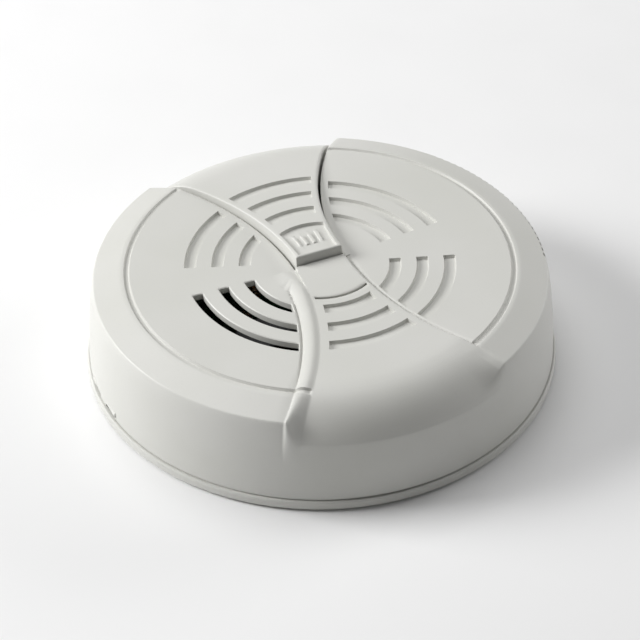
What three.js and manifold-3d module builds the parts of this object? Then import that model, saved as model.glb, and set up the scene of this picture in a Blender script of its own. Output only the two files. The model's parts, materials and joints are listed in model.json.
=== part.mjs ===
// Battery carbon monoxide alarm: a round hinged cover over a base tray that screws to a wall or ceiling.
// Millimetres, +Z from the mounting face to the front. The origin is the centre of the mounting face.
// +Y points along the test lever, the cover hinges on the -X side and is opened by its grip at +X.
import * as THREE from 'three';
import { mergeVertices } from 'three/addons/utils/BufferGeometryUtils.js';
import Module from 'manifold-3d';

const wasm = await Module();
wasm.setup();

// ---- Fits ----
const gap = 0.3;                      // between any two pieces that touch
const roundSteps = 72;                // facets round the housing
const smallSteps = 16;                // facets round a small part

// ---- Housing ----
const footRadius = 65;                // edge of the base flange
const flangeHeight = 3;
const floorThickness = 2.2;
const ledge = 0.8;                    // flange showing past the cover
const faceHeight = 30;              // mounting face to the cover's flat face
const coverWall = 2;
const bevelWidth = 8.6;               // sloping shoulder between the face and the side
const bevelDrop = 2.8;
const shoulderInset = 2.2;            // how far the side leans in from foot to shoulder
const sideBulge = 0.45;
const trayWallInset = 5;              // flange edge to the tray's standing wall
const trayWall = 1.8;
const trayWallHeight = 8;

// ---- Hourglass band across the face: the test lever behind, its fixed twin in front ----
const bandWaist = 14.8;
const bandArcRadius = 80;
const bandRise = 0.8;
const bandRollWidth = 13;             // rounded shoulder of the band, inward from the outer shoulder
const bandRollDepth = 2.35;           // how round that shoulder is
const tipY = 0.2;                     // front face of the lever's raised tip

// ---- Rings of slots and grooves ----
const ringCount = 3;
const firstRingRadius = 20.4;
const ringPitch = 7.4;
const ringWidth = 3.1;
const grooveDepth = 0.9;
const plateSlotRadius = 15.8;
const plateSlotWidth = 1;
const grooveStop = 2.2;               // a groove ends this far from the band
const ventStop = 5;                   // and a through slot this far
const edgeGrooveWidth = 1.8;
const edgeGrooveDepth = 0.7;
const edgeGrooveStop = 0.4;           // the edge groove ends this far from the band

// ---- Test lever ----
const leverGap = 0.7;
const leverSkirt = 1.8;
const leverTipRise = 2.8;
const leverPivotY = 46;
const leverPivotZ = faceHeight - 4.9;
const leverSkirtBottom = faceHeight - 7;
const trunnionRadius = 1.1;
const lugThickness = 2;
const panelRadius = 14;               // rear edge of the sunk thumb panel
const panelMargin = 1.8;
const panelRim = 0.9;                 // left standing in front of the panel
const panelDepth = 0.9;
const panelRibs = 4;
const panelRibPitch = 2;
const panelRibWidth = 0.8;
const panelRibLength = 4.4;

// ---- Cover hinge, latch and grip ----
const hingePinRadius = 0.85;
const hingePinInset = 0.9;            // pin centre in from the cover's side
const hingeHeight = 4.9;
const hingeHookWidth = 4.6;
const hingeHookOffset = 4.8;
const hookThickness = 1.1;
const footRelief = 0.4;               // cut from the foot so that it clears the flange as it turns
const latchWidth = 12;
const latchBite = 0.6;
const gripGrooves = 24;
const gripPitch = 2.4;
const gripGrooveWidth = 1.1;
const gripGrooveDepth = 0.6;
const gripCentreAngle = 7.6;            // degrees from +X

// ---- Electronics and battery ----
const boardRadius = 53;
const boardHeight = 6;
const boardThickness = 1.6;
const screwShank = 1.1;
const screwHead = 2.8;
const screwSpots = [[-33, 40], [8, -46], [36, 33]];
const bossRadius = 3.2;
const batteryLength = 48.5;
const batteryWidth = 26.5;
const batteryDepth = 17.5;
const batteryX = 31;
const batteryY = -6.5;
const terminalSpacing = 12.7;
const terminalLength = 3;
const bayWall = 1.5;
const bayHeight = 12;
const bayGap = 0.5;                   // battery to the walls of its bay
const hornRadius = 17;
const hornX = -20;
const hornY = -24;
const hornTop = 24;
const discThickness = 0.4;
const discHeight = 16;
const sensorRadius = 10;
const sensorX = -28;
const sensorY = 27;
const sensorTop = 21.5;
const sensorPinRadius = 0.5;
const sensorPinRing = 6.5;
const ledX = -37;
const ledY = 2;
const ledBottom = 18;
const ledRadius = 2.5;
const switchY = 8;
const switchSize = 6;
const switchTop = 11.5;
const plungerRadius = 1.6;
const plungerTop = 13.4;
const plungerTravel = 1.2;
const resistorSpots = [[-18, 8], [-22, 8], [-12, 20], [12, 26]];
const keyholeX = 51.5;
const keyholeHeadRadius = 4.2;
const keyholeSlotRadius = 2.2;
const keyholeRun = 9;

// ---- Sizes that follow from the ones above ----
const coverFootRadius = footRadius - ledge;
const coverFootZ = flangeHeight + gap;
const shoulderRadius = coverFootRadius - shoulderInset;
const shoulderZ = faceHeight - bevelDrop;
const faceRadius = shoulderRadius - bevelWidth;
const trayRadius = footRadius - trayWallInset;
const boardTop = boardHeight + boardThickness;
const partSeat = boardTop + gap;      // underside of anything mounted on the board
const ceiling = faceHeight - coverWall;
const wedgeAngle = Math.asin(leverTipRise / (leverPivotY - tipY));
const tall = 2 * faceHeight;          // longer than any cut needs
const degrees = Math.PI / 180;

// ---- Solids ----
function solid(geometry) {
  const bare = geometry.index ? geometry.toNonIndexed() : geometry.clone();
  bare.deleteAttribute('normal');
  bare.deleteAttribute('uv');
  const merged = mergeVertices(bare, 1e-4);
  const vertProperties = new Float32Array(merged.attributes.position.array);
  const triVerts = new Uint32Array(merged.index.array);
  return new wasm.Manifold(new wasm.Mesh({ numProp: 3, vertProperties, triVerts }));
}

function geometryOf(body) {
  const mesh = body.getMesh();
  const geometry = new THREE.BufferGeometry();
  geometry.setAttribute('position', new THREE.BufferAttribute(new Float32Array(mesh.vertProperties), 3));
  geometry.setIndex(new THREE.BufferAttribute(new Uint32Array(mesh.triVerts), 1));
  geometry.computeVertexNormals();
  return geometry;
}

function block(size, centre) {
  return solid(new THREE.BoxGeometry(...size).translate(...centre));
}

function rod(radius, bottom, top, x = 0, y = 0, steps = smallSteps) {
  const shape = new THREE.CylinderGeometry(radius, radius, top - bottom, steps).rotateX(Math.PI / 2);
  return solid(shape.translate(x, y, (top + bottom) / 2));
}

function crossRod(axis, radius, length, centre, steps = smallSteps) {
  const shape = new THREE.CylinderGeometry(radius, radius, length, steps);
  if (axis === 'x') shape.rotateZ(Math.PI / 2);
  return solid(shape.translate(...centre));
}

// A closed outline of [radius, z] points, listed either way round, turned about Z.
function turned(outline, steps = roundSteps) {
  const points = outline.map(([radius, z]) => new THREE.Vector2(radius, z));
  if (THREE.ShapeUtils.isClockWise(points)) points.reverse();
  return solid(new THREE.LatheGeometry(points, steps).rotateX(Math.PI / 2));
}

function prism(shape, bottom, top, curveSegments = 8) {
  const options = { depth: top - bottom, bevelEnabled: false, curveSegments };
  return solid(new THREE.ExtrudeGeometry(shape, options).translate(0, 0, bottom));
}

function joined(bodies) {
  return bodies.reduce((whole, body) => whole.add(body));
}

function cutBy(body, cutters) {
  return cutters.reduce((rest, cutter) => rest.subtract(cutter), body);
}

// ---- Materials ----
const plastic = { color: 0xd2d2cc, roughness: 0.45, metalness: 0 };
const shades = {
  housing: plastic,
  board: { color: 0x2f6b3c, roughness: 0.5, metalness: 0 },
  black: { color: 0x202020, roughness: 0.5, metalness: 0 },
  steel: { color: 0xb9bcc0, roughness: 0.3, metalness: 1 },
  brass: { color: 0xc9a24a, roughness: 0.35, metalness: 1 },
  ceramic: { color: 0xe6e2d8, roughness: 0.5, metalness: 0 },
  red: { color: 0xb02018, roughness: 0.2, metalness: 0 },
  copper: { color: 0x8a4b2a, roughness: 0.4, metalness: 0.6 },
  blue: { color: 0x24406e, roughness: 0.4, metalness: 0 },
  tan: { color: 0xc7a878, roughness: 0.5, metalness: 0 },
  jacket: { color: 0x3a3c40, roughness: 0.4, metalness: 0.2 },
};

const alarm = new THREE.Group();

function place(name, body, shade, parent = alarm) {
  const mesh = new THREE.Mesh(geometryOf(body), new THREE.MeshStandardMaterial(shades[shade]));
  mesh.name = name;
  parent.add(mesh);
}

// ---- Outlines of the housing ----
// Points on a shallow arc from a to b that bulges by the given amount to its left.
function shallowArc(a, b, bulge, steps) {
  const [dx, dz] = [b[0] - a[0], b[1] - a[1]];
  const length = Math.hypot(dx, dz);
  const points = [];
  for (let i = 0; i <= steps; i += 1) {
    const t = i / steps;
    const lift = 4 * bulge * t * (1 - t) / length;
    points.push([a[0] + dx * t - dz * lift, a[1] + dz * t + dx * lift]);
  }
  return points;
}

const sideLine = shallowArc([shoulderRadius, shoulderZ], [coverFootRadius, coverFootZ], sideBulge, 8);
const sectorOutline = [[0, faceHeight], [faceRadius, faceHeight], ...sideLine];

const bandTop = faceHeight + bandRise;
const rollJoin = 2;                   // the band's rounded shoulder meets the side at this point of its line
const openingBottom = sideLine[rollJoin][1];
const leverRimBottom = openingBottom + 2 * leverGap;
const rollStart = shoulderRadius - bandRollWidth;
const rollLine = shallowArc([rollStart, bandTop], sideLine[rollJoin], bandRollDepth, 5);
const bandOutline = [[0, bandTop], ...rollLine, ...sideLine.slice(rollJoin + 1)];

// The same line moved inward by one wall, square to each of its stretches.
function inset(outline, depth) {
  const normal = (a, b) => {
    const length = Math.hypot(b[0] - a[0], b[1] - a[1]);
    return [(b[1] - a[1]) / length, (a[0] - b[0]) / length];
  };
  return outline.map((point, i) => {
    if (i === 0) return [0, point[1] - depth];
    const before = normal(outline[i - 1], point);
    if (i === outline.length - 1) return [point[0] + depth / before[0], point[1]];
    const after = normal(point, outline[i + 1]);
    const [nx, nz] = [before[0] + after[0], before[1] + after[1]];
    const scale = 2 * depth / (nx * nx + nz * nz);
    return [point[0] + nx * scale, point[1] + nz * scale];
  });
}

function shell(outline) {
  return turned([...inset(outline, coverWall), ...outline.slice().reverse()]);
}

function dome(outline) {
  return turned([[0, coverFootZ], ...outline.slice().reverse()]);
}

// The hourglass standing between two Y values, its sides moved in by the given margin.
function band(margin, fromY, toY, bottom = 0) {
  const radius = bandArcRadius + margin;
  const centreX = bandWaist / 2 + bandArcRadius;
  const reach = Math.asin(coverFootRadius / radius);
  const shape = new THREE.Shape();
  shape.absarc(centreX, 0, radius, Math.PI + reach, Math.PI - reach, true);
  shape.absarc(-centreX, 0, radius, reach, -reach, true);
  shape.closePath();
  const stretch = block([tall * 4, toY - fromY, tall], [0, (fromY + toY) / 2, bottom + tall / 2]);
  return prism(shape, bottom, bottom + tall, 20).intersect(stretch);
}

function ringSector(radius, width, fromAngle, toAngle) {
  const shape = new THREE.Shape();
  shape.absarc(0, 0, radius + width / 2, fromAngle * degrees, toAngle * degrees, false);
  shape.absarc(0, 0, radius - width / 2, toAngle * degrees, fromAngle * degrees, true);
  shape.closePath();
  return shape;
}

const bandReach = coverFootRadius + 1;
const ringRadii = Array.from({ length: ringCount }, (unused, i) => firstRingRadius + i * ringPitch);

// ---- Front cover ----
// Angle from the X axis at which a ring comes within the given margin of the band.
function bandAngle(radius, margin) {
  const centreX = bandWaist / 2 + bandArcRadius;
  const side = bandArcRadius - margin;
  const cosine = (radius * radius + centreX * centreX - side * side) / (2 * radius * centreX);
  return Math.acos(cosine) / degrees;
}

function ventCuts() {
  const cuts = [];
  for (const radius of ringRadii) {
    const limit = bandAngle(radius, grooveStop);
    const blind = [[-limit, -19], [5, limit], [180 - limit, 159]];
    for (const [from, to] of blind) {
      cuts.push(prism(ringSector(radius, ringWidth, from, to), faceHeight - grooveDepth, tall));
    }
    const ventEnd = 180 + bandAngle(radius, ventStop);
    cuts.push(prism(ringSector(radius, ringWidth, 178, ventEnd), ceiling - 1, tall));
    const front = prism(ringSector(radius, ringWidth, -130, -50), bandTop - grooveDepth, tall);
    cuts.push(front.intersect(band(2.6, -bandReach, tipY)));
  }
  const plateSlot = prism(ringSector(plateSlotRadius, plateSlotWidth, -130, -50), ceiling - 1, tall);
  cuts.push(plateSlot.intersect(band(0.9, -bandReach, tipY)));
  return cuts;
}

// A shallow circular groove just inside the shoulder, absent across the band.
function edgeGroove() {
  const middle = faceRadius - edgeGrooveWidth / 2;
  const low = faceHeight - edgeGrooveDepth;
  const half = edgeGrooveWidth / 2;
  const ring = turned([
    [middle - half, faceHeight + 1], [middle - half, faceHeight], [middle - half / 2, low],
    [middle + half / 2, low], [middle + half, faceHeight], [middle + half, faceHeight + 1],
    [middle - half, faceHeight + 1],
  ]);
  return ring.subtract(band(-edgeGrooveStop, -bandReach, bandReach));
}

function gripCuts() {
  const cuts = [];
  const slope = Math.atan2(sideLine[1][0] - shoulderRadius, shoulderZ - sideLine[1][1]);
  for (let i = 0; i < gripGrooves; i += 1) {
    const angle = gripCentreAngle * degrees + (i - (gripGrooves - 1) / 2) * gripPitch / shoulderRadius;
    const bar = new THREE.BoxGeometry(2, gripGrooveWidth, 5).rotateY(-slope);
    bar.translate(shoulderRadius + 1 - gripGrooveDepth, 0, shoulderZ - 1.2).rotateZ(angle);
    cuts.push(solid(bar));
  }
  return cuts;
}

// Radius of the cover's outer side at a height.
function sideRadius(z) {
  const above = sideLine.findIndex((point) => point[1] <= z);
  const [a, b] = [sideLine[above - 1], sideLine[above]];
  return a[0] + (b[0] - a[0]) * (a[1] - z) / (a[1] - b[1]);
}

const hingeX = -(sideRadius(hingeHeight) - hingePinInset);
const hookBore = hingePinRadius + gap;
const hookRadius = hookBore + hookThickness;

// Room for one hinge hook inside the cover's foot, with the pin left across it.
function hingeWindow(y) {
  const width = hingeHookWidth + 2 * gap;
  const top = hingeHeight + hookRadius + 2 * gap;
  const inner = block([8, width, top], [hingeX + 4, y, top / 2]);
  const lowEdge = hingeHeight - gap;
  return inner.add(block([16, width, lowEdge], [hingeX, y, lowEdge / 2]));
}

function hingeFootRelief() {
  const top = coverFootZ + footRelief;
  return block([2 * hookRadius, 2 * hingeHookOffset, top], [hingeX - hookRadius / 2, 0, top / 2]);
}

function hingePins() {
  const span = 2 * hingeHookOffset + hingeHookWidth + 3;
  return crossRod('y', hingePinRadius, span, [hingeX, 0, hingeHeight]);
}

// A nib inside the cover that snaps under the lip of the tray's wall.
const lipDepth = gap + latchBite;
const nibTop = trayWallHeight - 1.8;
function latchNib() {
  const inner = trayRadius + gap;
  const depth = sideRadius(nibTop) - coverWall / 2 - inner;
  const height = nibTop - coverFootZ - 1;
  return block([depth, latchWidth, height], [inner + depth / 2, 0, nibTop - height / 2]);
}

function bandX(y, margin) {
  const radius = bandArcRadius + margin;
  return bandWaist / 2 + bandArcRadius - Math.sqrt(radius * radius - y * y);
}

const lugRadius = trunnionRadius + gap + 1.3;
const lugX = bandX(leverPivotY + lugRadius, leverGap) + gap + lugThickness / 2;

function leverLug(side) {
  const top = ceiling + coverWall / 4;
  const lug = block([lugThickness, 2 * lugRadius, top - leverPivotZ],
    [side * lugX, leverPivotY, (top + leverPivotZ) / 2]);
  const foot = crossRod('x', lugRadius, lugThickness, [side * lugX, leverPivotY, leverPivotZ]);
  const bore = crossRod('x', trunnionRadius + gap, 3 * lugThickness, [side * lugX, leverPivotY, leverPivotZ]);
  const mouth = block([3 * lugThickness, 2 * trunnionRadius, 2 * lugRadius],
    [side * lugX, leverPivotY, leverPivotZ - lugRadius]);
  return cutBy(lug.add(foot), [bore, mouth]);
}

function frontCover() {
  const sides = shell(sectorOutline).subtract(band(0, -bandReach, bandReach, openingBottom));
  const fixedBand = shell(bandOutline).intersect(band(0, -bandReach, tipY - leverGap, openingBottom));
  let cover = cutBy(sides.add(fixedBand), [...ventCuts(), edgeGroove(), ...gripCuts()]);
  cover = cutBy(cover, [hingeWindow(-hingeHookOffset), hingeWindow(hingeHookOffset), hingeFootRelief()]);
  return joined([cover, hingePins(), latchNib(), leverLug(-1), leverLug(1)]);
}

// ---- Test lever ----
// The lever is drawn level and stands in a group tilted about its pivot, which lifts the tip.
function toLeverFrame(y, z) {
  const [dy, dz] = [y - leverPivotY, z - leverPivotZ];
  const [sine, cosine] = [Math.sin(wedgeAngle), Math.cos(wedgeAngle)];
  return [leverPivotY + dy * cosine - dz * sine, leverPivotZ + dy * sine + dz * cosine];
}

function leverPanel() {
  const floor = bandTop - panelDepth;
  const field = rod(panelRadius, floor, tall, 0, 0, 40);
  const cut = field.intersect(band(panelMargin, tipY + panelRim, panelRadius, floor));
  const middle = (tipY + panelRim + panelRadius) / 2;
  const ribs = [];
  for (let i = 0; i < panelRibs; i += 1) {
    const x = (i - (panelRibs - 1) / 2) * panelRibPitch;
    ribs.push(block([panelRibWidth, panelRibLength, panelDepth], [x, middle, floor]));
  }
  return [cut, ribs];
}

function testLever() {
  const outer = band(leverGap, tipY, bandReach);
  const core = band(leverGap + leverSkirt, tipY + leverSkirt, bandReach);
  const skirt = dome(bandOutline).subtract(core);
  const plate = shell(bandOutline);
  const under = block([tall * 2, leverPivotY + 4 - tipY + 10, leverSkirtBottom],
    [0, (leverPivotY + 4 + tipY - 10) / 2, leverSkirtBottom / 2]);
  const rimUnder = block([tall * 3, tall * 4, leverRimBottom], [0, 0, leverRimBottom / 2]);
  let lever = cutBy(plate.add(skirt).intersect(outer), [under, rimUnder]);
  const groovesIn = band(leverGap + 2, 0, bandReach);
  const grooves = ringRadii.map((radius) =>
    prism(ringSector(radius, ringWidth, 50, 130), bandTop - grooveDepth, tall).intersect(groovesIn));
  const [panel, ribs] = leverPanel();
  lever = cutBy(lever, [...grooves, panel]);
  const reach = lugX + lugThickness / 2;
  const axle = crossRod('x', trunnionRadius, 2 * reach, [0, leverPivotY, leverPivotZ]);
  const [postY, postBottom] = toLeverFrame(switchY, plungerTop + gap);
  const post = rod(plungerRadius, postBottom, bandTop - panelDepth - 0.5, 0, postY);
  return joined([lever, axle, post, ...ribs]);
}

function placeLever() {
  const pivot = new THREE.Group();
  pivot.position.set(0, leverPivotY, leverPivotZ);
  pivot.rotation.x = -wedgeAngle;
  alarm.add(pivot);
  place('test_lever', testLever().translate([0, -leverPivotY, -leverPivotZ]), 'housing', pivot);
}

// ---- Base tray ----
function trayOutline() {
  const chamfer = 0.6;
  const inner = trayRadius - trayWall;
  return [
    [0, floorThickness], [inner, floorThickness], [inner, trayWallHeight], [trayRadius, trayWallHeight],
    [trayRadius, flangeHeight], [footRadius - chamfer / 2, flangeHeight],
    [footRadius, flangeHeight - chamfer],
    [footRadius, chamfer], [footRadius - chamfer, 0], [0, 0],
  ];
}

// A hanging keyhole: a round hole for the screw's head with a narrower slot above it.
function keyhole(x) {
  const head = rod(keyholeHeadRadius, -1, floorThickness + 1, x, -keyholeRun / 2, 24);
  const top = rod(keyholeSlotRadius, -1, floorThickness + 1, x, keyholeRun / 2, 24);
  const run = block([2 * keyholeSlotRadius, keyholeRun, floorThickness + 2], [x, 0, floorThickness / 2]);
  return joined([head, top, run]);
}

// A C-shaped hook that holds the cover's hinge pin from inside and above.
function hingeHook(y) {
  const ring = crossRod('y', hookRadius, hingeHookWidth, [hingeX, y, hingeHeight], 24);
  const bore = crossRod('y', hookBore, 2 * hingeHookWidth, [hingeX, y, hingeHeight], 24);
  const outside = block([6, 2 * hingeHookWidth, 8], [hingeX - 3 + gap, y, hingeHeight]);
  const low = block([1.4, 2 * hingeHookWidth, 4], [hingeX + gap + 0.2, y, hingeHeight - 2]);
  const inner = hookRadius - 0.6;
  const stand = block([inner, hingeHookWidth, hingeHeight - flangeHeight + 1],
    [hingeX + 0.6 + inner / 2, y, (hingeHeight + flangeHeight - 1) / 2]);
  return cutBy(ring.add(stand), [bore, outside, low]);
}

// Three walls round the battery, open at the end where its terminals meet the contacts.
function batteryBay() {
  const sideX = batteryWidth / 2 + bayGap + bayWall / 2;
  const height = bayHeight - floorThickness / 2;
  const z = bayHeight - height / 2;
  const endY = batteryY - batteryLength / 2 - bayGap - bayWall / 2;
  const end = block([2 * sideX + bayWall, bayWall, height], [batteryX, endY, z]);
  const reach = 0.8 * batteryLength;
  const sideY = batteryY - (batteryLength - reach) / 2;
  const sides = [-1, 1].map((side) =>
    block([bayWall, reach, height], [batteryX + side * sideX, sideY, z]));
  return joined([end, ...sides]);
}

function latchLip() {
  const radius = trayRadius + lipDepth;
  const height = trayWallHeight - nibTop - gap;
  const ring = rod(radius, trayWallHeight - height, trayWallHeight, 0, 0, roundSteps);
  const room = rod(trayRadius - trayWall / 2, 0, tall, 0, 0, roundSteps);
  return ring.subtract(room).intersect(block([30, latchWidth, tall], [trayRadius, 0, 0]));
}

function baseTray() {
  const posts = screwSpots.map(([x, y]) => rod(bossRadius, floorThickness / 2, boardHeight - gap, x, y));
  const hooks = [hingeHook(-hingeHookOffset), hingeHook(hingeHookOffset)];
  const tray = joined([turned(trayOutline()), ...posts, ...hooks, batteryBay(), latchLip()]);
  const pilots = screwSpots.map(([x, y]) => rod(screwShank + gap, floorThickness, tall, x, y));
  return cutBy(tray, [...pilots, keyhole(-keyholeX), keyhole(keyholeX)]);
}

// ---- Circuit board and its screws ----
const sensorPins = [90, 210, 330].map((angle) => [
  sensorX + sensorPinRing * Math.cos(angle * degrees), sensorY + sensorPinRing * Math.sin(angle * degrees)]);

function circuitBoard() {
  const bayLeft = batteryX - batteryWidth / 2 - bayGap - bayWall - 1;
  const bayBack = batteryY + batteryLength / 2 + terminalLength + 3;
  const board = rod(boardRadius, boardHeight, boardTop, 0, 0, 48);
  const bay = block([tall * 2, tall * 2, tall], [bayLeft + tall, bayBack - tall, 0]);
  const hingeSide = block([tall, tall * 4, tall], [-42 - tall / 2, 0, 0]);
  const holes = screwSpots.map(([x, y]) => rod(screwShank + gap, 0, tall, x, y));
  const pins = sensorPins.map(([x, y]) => rod(sensorPinRadius + gap, 0, tall, x, y, 8));
  return cutBy(board, [bay, hingeSide, ...holes, ...pins]);
}

function boardScrew([x, y]) {
  const seat = partSeat;
  const body = turned([
    [0, floorThickness + 0.6], [screwShank, floorThickness + 0.8], [screwShank, seat], [screwHead, seat],
    [screwHead, seat + 0.9], [screwHead * 0.7, seat + 1.7], [0, seat + 1.9],
  ], smallSteps);
  const recess = [0, 90].map((turn) =>
    solid(new THREE.BoxGeometry(3, 0.6, 1.6).rotateZ(turn * degrees).translate(0, 0, seat + 1.9)));
  return cutBy(body, recess).translate([x, y, 0]);
}

// ---- Carbon monoxide cell ----
function sensorCan() {
  const seat = partSeat + 1;
  return turned([
    [0, seat], [sensorRadius - 0.6, seat], [sensorRadius, seat + 0.6], [sensorRadius, sensorTop - 1.4],
    [sensorRadius - 0.5, sensorTop - 0.8], [sensorRadius - 1.2, sensorTop], [0, sensorTop],
  ], 32).translate([sensorX, sensorY, 0]);
}

function sensorCap() {
  const low = sensorTop + gap;
  const radius = sensorRadius - 1.6;
  const high = low + 1.9;
  const outline = [[0, low], [radius, low], [radius, high - 0.5], [radius - 0.5, high], [0, high]];
  const cap = turned(outline, 32);
  const inlet = rod(1.6, low + 0.8, tall, 0, 0);
  return cap.subtract(inlet).translate([sensorX, sensorY, 0]);
}

// ---- Horn: resonator housing, brass disc, ceramic and three contacts ----
function hornHousing() {
  const wide = hornRadius - 1.4;
  const narrow = hornRadius - 2.4;
  const step = discHeight + discThickness + gap;
  const port = 4.5;
  return turned([
    [wide, partSeat], [hornRadius, partSeat], [hornRadius, hornTop - 1], [hornRadius - 1, hornTop],
    [port + 1, hornTop], [port, hornTop - 0.6], [port, hornTop - 1.6], [narrow, hornTop - 1.6],
    [narrow, step], [wide, step], [wide, partSeat],
  ], 40).translate([hornX, hornY, 0]);
}

function hornDisc() {
  return rod(hornRadius - 1.4 - gap, discHeight, discHeight + discThickness, hornX, hornY, 40);
}

function hornCeramic() {
  const top = discHeight - gap;
  return rod(hornRadius * 0.62, top - discThickness, top, hornX, hornY, 32);
}

// A strip of spring metal standing on the board and bent over at its top.
function springStrip(width, height, foot, hook, thickness = 0.5) {
  const shape = new THREE.Shape();
  const middle = height / 2;
  shape.moveTo(0, 0);
  shape.lineTo(foot, 0);
  shape.lineTo(foot, thickness);
  shape.lineTo(thickness * 1.6, thickness);
  shape.lineTo(thickness * 2.6, middle);
  shape.lineTo(thickness, height);
  shape.lineTo(-hook, height);
  shape.lineTo(-hook, height - thickness);
  shape.lineTo(0, height - thickness);
  shape.lineTo(thickness * 1.5, middle);
  shape.closePath();
  const options = { depth: width, bevelEnabled: false };
  return new THREE.ExtrudeGeometry(shape, options).translate(0, 0, -width / 2).rotateX(Math.PI / 2);
}

const contactAngles = [30, 150, 270];
function hornContact(i) {
  const reach = i === 0 ? hornRadius * 0.75 : hornRadius * 0.4;
  const touch = i === 0 ? discHeight - gap : discHeight - 2 * gap - discThickness;
  const angle = contactAngles[i] * degrees;
  const strip = springStrip(2, touch - partSeat, 2.4, 1.4).translate(0, 0, partSeat);
  return solid(strip.rotateZ(angle).translate(
    hornX + reach * Math.cos(angle), hornY + reach * Math.sin(angle), 0));
}

// ---- Test switch ----
function switchBody() {
  const middle = (switchTop + partSeat) / 2;
  const body = block([switchSize, switchSize, switchTop - partSeat], [0, switchY, middle]);
  const well = rod(plungerRadius + gap, plungerTop - 3.8 - plungerTravel - gap, tall, 0, switchY);
  const legs = [];
  for (const x of [-2.2, 2.2]) {
    for (const side of [-1, 1]) {
      legs.push(block([0.8, 2, 0.5], [x, switchY + side * (switchSize / 2 + 0.5), partSeat + 0.25]));
    }
  }
  return joined([body, ...legs]).subtract(well);
}

function switchPlunger() {
  return rod(plungerRadius, plungerTop - 3.8, plungerTop, 0, switchY);
}

// ---- Small parts on the board ----
function ledLens() {
  const flange = ledRadius + 0.4;
  const points = [[0, ledBottom], [flange, ledBottom], [flange, ledBottom + 1], [ledRadius, ledBottom + 1]];
  const waist = ledBottom + 3;
  for (let i = 0; i <= 5; i += 1) {
    const turn = i * Math.PI / 10;
    points.push([ledRadius * Math.cos(turn), waist + ledRadius * Math.sin(turn)]);
  }
  points[points.length - 1][0] = 0;
  return turned(points, smallSteps).translate([ledX, ledY, 0]);
}

function ledLead(side) {
  const top = ledBottom - gap;
  return block([0.5, 0.5, top - partSeat], [ledX + side * 1.27, ledY, (top + partSeat) / 2]);
}

function microcontroller() {
  const [x, y] = [-2, 34];
  const body = block([12, 7, 2.2], [x, y, partSeat + 0.4 + 1.1]);
  const leads = [];
  for (let i = 0; i < 8; i += 1) {
    for (const side of [-1, 1]) {
      leads.push(block([0.6, 1.8, 0.9], [x + (i - 3.5) * 1.3, y + side * 4.2, partSeat + 0.45]));
    }
  }
  return joined([body, ...leads]);
}

function hornTransformer() {
  const [low, high] = [partSeat, partSeat + 9];
  return turned([
    [0, low], [5.2, low], [5.2, low + 1.5], [3.9, low + 1.5],
    [3.9, high - 1.5], [5.2, high - 1.5], [5.2, high],
    [0, high],
  ], 24).translate([7, -30, 0]);
}

function capacitor(radius, height, x, y) {
  const high = partSeat + height;
  return turned([
    [0, partSeat], [radius, partSeat], [radius, partSeat + 1.1], [radius - 0.35, partSeat + 1.5],
    [radius, partSeat + 1.9], [radius, high - 0.4], [radius - 0.4, high], [0, high],
  ], 20).translate([x, y, 0]);
}

function resistor(x, y) {
  const height = partSeat + 1.6;
  const body = crossRod('y', 1.1, 5.6, [x, y, height], 12);
  const lead = crossRod('y', 0.35, 9, [x, y, height], 8);
  const legs = [-1, 1].map((side) =>
    block([0.6, 0.6, height - partSeat + 0.3], [x, y + side * 4.3, (height + partSeat + 0.3) / 2]));
  return joined([body, lead, ...legs]);
}

// ---- Battery and its contacts ----
const batteryBottom = floorThickness + gap;
const batteryEnd = batteryY + batteryLength / 2;
const terminalZ = batteryBottom + batteryDepth / 2;

function batteryBody() {
  const corner = 2;
  const [halfX, halfZ] = [batteryWidth / 2, batteryDepth / 2];
  const shape = new THREE.Shape();
  shape.absarc(halfX - corner, halfZ - corner, corner, 0, Math.PI / 2, false);
  shape.absarc(corner - halfX, halfZ - corner, corner, Math.PI / 2, Math.PI, false);
  shape.absarc(corner - halfX, corner - halfZ, corner, Math.PI, Math.PI * 1.5, false);
  shape.absarc(halfX - corner, corner - halfZ, corner, Math.PI * 1.5, Math.PI * 2, false);
  shape.closePath();
  const options = { depth: batteryLength, bevelEnabled: false, curveSegments: 4 };
  const body = new THREE.ExtrudeGeometry(shape, options).rotateX(Math.PI / 2);
  return solid(body.translate(batteryX, batteryEnd, terminalZ));
}

function batteryTerminal(side, radius) {
  const length = terminalLength - gap;
  const at = [batteryX + side * terminalSpacing / 2, batteryEnd + gap + length / 2, terminalZ];
  return crossRod('y', radius, length, at, side < 0 ? 20 : 6);
}

function batteryContact(side) {
  const height = terminalZ + 3 - partSeat;
  const strip = springStrip(7, height, 3.5, 1.2, 0.6).rotateZ(Math.PI / 2);
  const y = batteryEnd + terminalLength + 1.2 + gap;
  return solid(strip.translate(batteryX + side * terminalSpacing / 2, y, partSeat));
}

// ---- Assembly ----
place('base_tray', baseTray(), 'housing');
place('front_cover', frontCover(), 'housing');
placeLever();
place('circuit_board', circuitBoard(), 'board');
screwSpots.forEach((spot, i) => place(`board_screw_${i + 1}`, boardScrew(spot), 'steel'));
place('sensor_can', sensorCan(), 'steel');
place('sensor_cap', sensorCap(), 'black');
sensorPins.forEach(([x, y], i) =>
  place(`sensor_pin_${i + 1}`, rod(sensorPinRadius, boardHeight - 1, partSeat + 1 - gap, x, y, 8), 'brass'));
place('horn_housing', hornHousing(), 'black');
place('horn_disc', hornDisc(), 'brass');
place('horn_ceramic', hornCeramic(), 'ceramic');
contactAngles.forEach((angle, i) => place(`horn_contact_${i + 1}`, hornContact(i), 'steel'));
place('test_switch_body', switchBody(), 'black');
place('test_switch_plunger', switchPlunger(), 'tan');
place('led_lens', ledLens(), 'red');
place('led_lead_1', ledLead(-1), 'steel');
place('led_lead_2', ledLead(1), 'steel');
place('microcontroller', microcontroller(), 'black');
place('horn_transformer', hornTransformer(), 'copper');
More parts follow.
